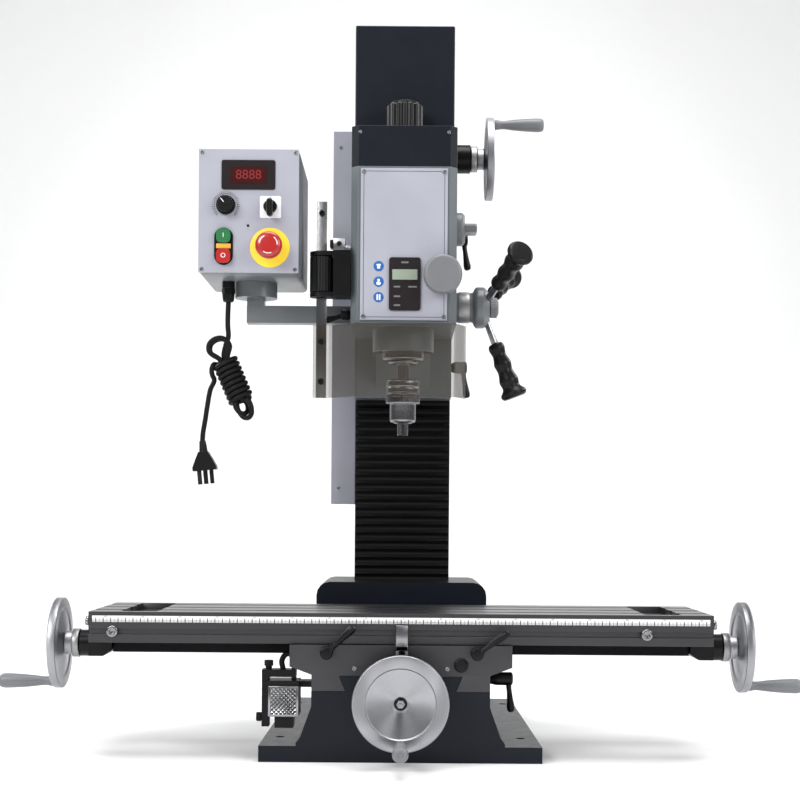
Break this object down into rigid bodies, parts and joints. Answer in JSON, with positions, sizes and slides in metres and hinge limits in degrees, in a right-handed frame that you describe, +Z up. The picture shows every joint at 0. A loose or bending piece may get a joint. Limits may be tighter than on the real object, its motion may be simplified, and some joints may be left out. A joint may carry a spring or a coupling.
{
  "type": "benchtop milling machine",
  "caption": "Benchtop milling machine with a dovetail column, cross-slide table, geared head, sprung quill, drill chuck, swing guard and a swivelling control box.",
  "frame": {"origin": "on the base's underside below the spindle's axis", "axes": "+X along the table to the operator's right, +Y away from the operator, +Z up"},
  "size_m": [1.13, 0.69, 1.0296],
  "materials": {
    "black_metal": "satin",
    "black_plastic": "satin",
    "black_rubber": "matte",
    "bright_steel": "satin",
    "die_cast": "satin",
    "green_plastic": "satin",
    "grey_green_paint": "satin",
    "grey_plastic": "satin",
    "ground_iron": "satin",
    "navy_paint": "satin",
    "pale_sheet": "satin",
    "red_plastic": "satin",
    "sheet_navy": "satin",
    "smoky_sheet": "gloss",
    "turned_aluminium": "satin"
  },
  "bodies": {
    "base": {"base_casting": "navy_paint", "column": "navy_paint", "bellows": "black_rubber", "rear_electrics_box": "pale_sheet", "z_crank_bearing": "black_metal"},
    "saddle": {"saddle_casting": "ground_iron", "work_lamp": "die_cast"},
    "table": {"table_top": "ground_iron", "end_bracket_left": "black_metal", "end_bracket_right": "black_metal"},
    "x_screw": {"x_leadscrew": "bright_steel", "x_wheel_left": "turned_aluminium", "x_wheel_right": "turned_aluminium"},
    "x_grip_left": {"x_handle_left": "grey_plastic"},
    "x_grip_right": {"x_handle_right": "grey_plastic"},
    "y_screw": {"y_leadscrew": "bright_steel", "y_wheel": "turned_aluminium"},
    "y_grip": {"y_handle": "grey_plastic"},
    "z_crank": {"z_crank_wheel": "turned_aluminium"},
    "z_grip": {"z_handle": "grey_plastic"},
    "z_screw": {"z_leadscrew": "bright_steel"},
    "head": {"head_casting": "grey_green_paint", "head_front_panel": "pale_sheet", "gearbox_cover": "sheet_navy", "motor_cover": "sheet_navy", "spindle_motor": "bright_steel", "drawbar_cap": "black_plastic", "guard_hinge_block": "black_metal", "control_arm": "die_cast"},
    "quill": {"quill": "bright_steel"},
    "spindle": {"spindle": "bright_steel", "chuck_body": "bright_steel"},
    "sleeve": {"chuck_sleeve": "bright_steel"},
    "feed": {"feed_hub": "die_cast", "feed_grip_1": "black_plastic", "feed_grip_2": "black_plastic", "feed_grip_3": "black_plastic"},
    "clutch": {"feed_clutch_knob": "grey_plastic"},
    "fine_feed": {"fine_feed_knob": "grey_plastic"},
    "gear_selector": {"gear_selector": "black_plastic"},
    "x_clamp_left": {"x_clamp_left": "black_metal"},
    "x_clamp_right": {"x_clamp_right": "black_metal"},
    "y_clamp": {"y_clamp": "black_metal"},
    "z_clamp_upper": {"z_clamp_upper": "black_metal"},
    "z_clamp_lower": {"z_clamp_lower": "black_metal"},
    "quill_clamp": {"quill_clamp": "black_metal"},
    "guard": {"guard_bar": "bright_steel", "guard_shield": "smoky_sheet"},
    "control": {"control_box": "die_cast", "control_lid": "pale_sheet", "cable_gland": "black_plastic", "cord_lead": "black_rubber", "cord_hank": "black_rubber", "cord_tail": "black_rubber", "plug": "black_plastic"},
    "speed": {"speed_knob": "black_plastic"},
    "switch": {"direction_switch": "black_plastic"},
    "start": {"start_button": "green_plastic"},
    "stop": {"stop_button": "red_plastic"},
    "estop": {"estop_button": "red_plastic"}
  },
  "joints": [
    {"name": "saddle_y_slide", "type": "slide", "parent": "base", "child": "saddle", "axis": [0, 1, 0], "range_m": [-0.04, 0.044]},
    {"name": "table_x_slide", "type": "slide", "parent": "saddle", "child": "table", "axis": [1, 0, 0], "range_m": [-0.225, 0.225]},
    {"name": "x_screw_turn", "type": "hinge", "parent": "table", "child": "x_screw", "pos_m": [0, 0, 0.148], "axis": [1, 0, 0], "continuous": true},
    {"name": "x_grip_left_spin", "type": "hinge", "parent": "x_screw", "child": "x_grip_left", "pos_m": [-0.486, 0, 0.094], "axis": [1, 0, 0], "continuous": true},
    {"name": "x_grip_right_spin", "type": "hinge", "parent": "x_screw", "child": "x_grip_right", "pos_m": [0.486, 0, 0.094], "axis": [1, 0, 0], "continuous": true},
    {"name": "y_screw_turn", "type": "hinge", "parent": "base", "child": "y_screw", "pos_m": [0, 0, 0.086], "axis": [0, 1, 0], "continuous": true},
    {"name": "y_grip_spin", "type": "hinge", "parent": "y_screw", "child": "y_grip", "pos_m": [0, -0.181, 0.032], "axis": [0, 1, 0], "continuous": true},
    {"name": "head_z_slide", "type": "slide", "parent": "base", "child": "head", "axis": [0, 0, 1], "range_m": [-0.155, 0.1], "deforming": ["bellows"]},
    {"name": "z_crank_turn", "type": "hinge", "parent": "base", "child": "z_crank", "pos_m": [0, 0.24, 0.887], "axis": [1, 0, 0], "continuous": true},
    {"name": "z_grip_spin", "type": "hinge", "parent": "z_crank", "child": "z_grip", "pos_m": [0.138, 0.24, 0.941], "axis": [1, 0, 0], "continuous": true},
    {"name": "z_screw_turn", "type": "hinge", "parent": "base", "child": "z_screw", "pos_m": [0, 0.24, 0], "axis": [0, 0, 1], "continuous": true},
    {"name": "quill_slide", "type": "slide", "parent": "head", "child": "quill", "axis": [0, 0, 1], "range_m": [-0.07, 0], "stiffness_N_per_m": 500, "springref_m": 0.2},
    {"name": "feed_hub_turn", "type": "hinge", "parent": "head", "child": "feed", "pos_m": [0, 0.04, 0.629], "axis": [1, 0, 0], "range_deg": [-10, 330]},
    {"name": "feed_clutch_turn", "type": "hinge", "parent": "feed", "child": "clutch", "pos_m": [0.1233, 0.04, 0.629], "axis": [1, 0, 0], "continuous": true},
    {"name": "spindle_spin", "type": "hinge", "parent": "quill", "child": "spindle", "pos_m": [0, 0, 0.548], "axis": [0, 0, 1], "continuous": true},
    {"name": "chuck_sleeve_turn", "type": "hinge", "parent": "spindle", "child": "sleeve", "pos_m": [0, 0, 0.461], "axis": [0, 0, 1], "continuous": true},
    {"name": "fine_feed_turn", "type": "hinge", "parent": "head", "child": "fine_feed", "pos_m": [0.0525, -0.0873, 0.6545], "axis": [0, 1, 0], "continuous": true},
    {"name": "gear_selector_turn", "type": "hinge", "parent": "head", "child": "gear_selector", "pos_m": [0.0723, 0.02, 0.7375], "axis": [1, 0, 0], "range_deg": [-45, 45]},
    {"name": "x_clamp_left_turn", "type": "hinge", "parent": "saddle", "child": "x_clamp_left", "pos_m": [-0.099, -0.1153, 0.147], "axis": [0, 1, 0], "range_deg": [-30, 30]},
    {"name": "x_clamp_right_turn", "type": "hinge", "parent": "saddle", "child": "x_clamp_right", "pos_m": [0.1015, -0.1153, 0.147], "axis": [0, 1, 0], "range_deg": [-30, 30]},
    {"name": "y_clamp_turn", "type": "hinge", "parent": "saddle", "child": "y_clamp", "pos_m": [0.1198, -0.06, 0.108], "axis": [1, 0, 0], "range_deg": [-40, 40]},
    {"name": "z_clamp_upper_turn", "type": "hinge", "parent": "head", "child": "z_clamp_upper", "pos_m": [0.0723, 0.15, 0.745], "axis": [1, 0, 0], "range_deg": [-40, 40]},
    {"name": "z_clamp_lower_turn", "type": "hinge", "parent": "head", "child": "z_clamp_lower", "pos_m": [0.0723, 0.15, 0.553], "axis": [1, 0, 0], "range_deg": [-40, 40]},
    {"name": "quill_clamp_turn", "type": "hinge", "parent": "head", "child": "quill_clamp", "pos_m": [-0.0723, -0.046, 0.607], "axis": [1, 0, 0], "range_deg": [-40, 40]},
    {"name": "guard_swing", "type": "hinge", "parent": "head", "child": "guard", "pos_m": [-0.112, -0.07, 0.49], "axis": [0, 0, 1], "range_deg": [-110, 0]},
    {"name": "control_box_swivel", "type": "hinge", "parent": "head", "child": "control", "pos_m": [-0.206, -0.017, 0.653], "axis": [0, 0, 1], "range_deg": [-45, 8]},
    {"name": "speed_knob_turn", "type": "hinge", "parent": "control", "child": "speed", "pos_m": [-0.2385, -0.1133, 0.744], "axis": [0, 1, 0], "range_deg": [0, 270]},
    {"name": "direction_switch_turn", "type": "hinge", "parent": "control", "child": "switch", "pos_m": [-0.179, -0.1133, 0.742], "axis": [0, 1, 0], "range_deg": [-60, 60]},
    {"name": "start_button_press", "type": "slide", "parent": "control", "child": "start", "axis": [0, 1, 0], "range_m": [0, 0.003], "stiffness_N_per_m": 500, "springref_m": -0.004},
    {"name": "stop_button_press", "type": "slide", "parent": "control", "child": "stop", "axis": [0, 1, 0], "range_m": [0, 0.003], "stiffness_N_per_m": 500, "springref_m": -0.004},
    {"name": "estop_button_press", "type": "slide", "parent": "control", "child": "estop", "axis": [0, 1, 0], "range_m": [0, 0.004], "stiffness_N_per_m": 600, "springref_m": -0.005}
  ],
  "couplings": [
    {"joint": "x_screw_turn", "follows": "table_x_slide", "rad_per_m": 1256.6},
    {"joint": "y_screw_turn", "follows": "saddle_y_slide", "rad_per_m": 1256.6},
    {"joint": "z_screw_turn", "follows": "head_z_slide", "rad_per_m": 1256.6},
    {"joint": "z_crank_turn", "follows": "head_z_slide", "rad_per_m": 1256.6},
    {"joint": "feed_hub_turn", "follows": "quill_slide", "rad_per_m": -78.54}
  ]
}
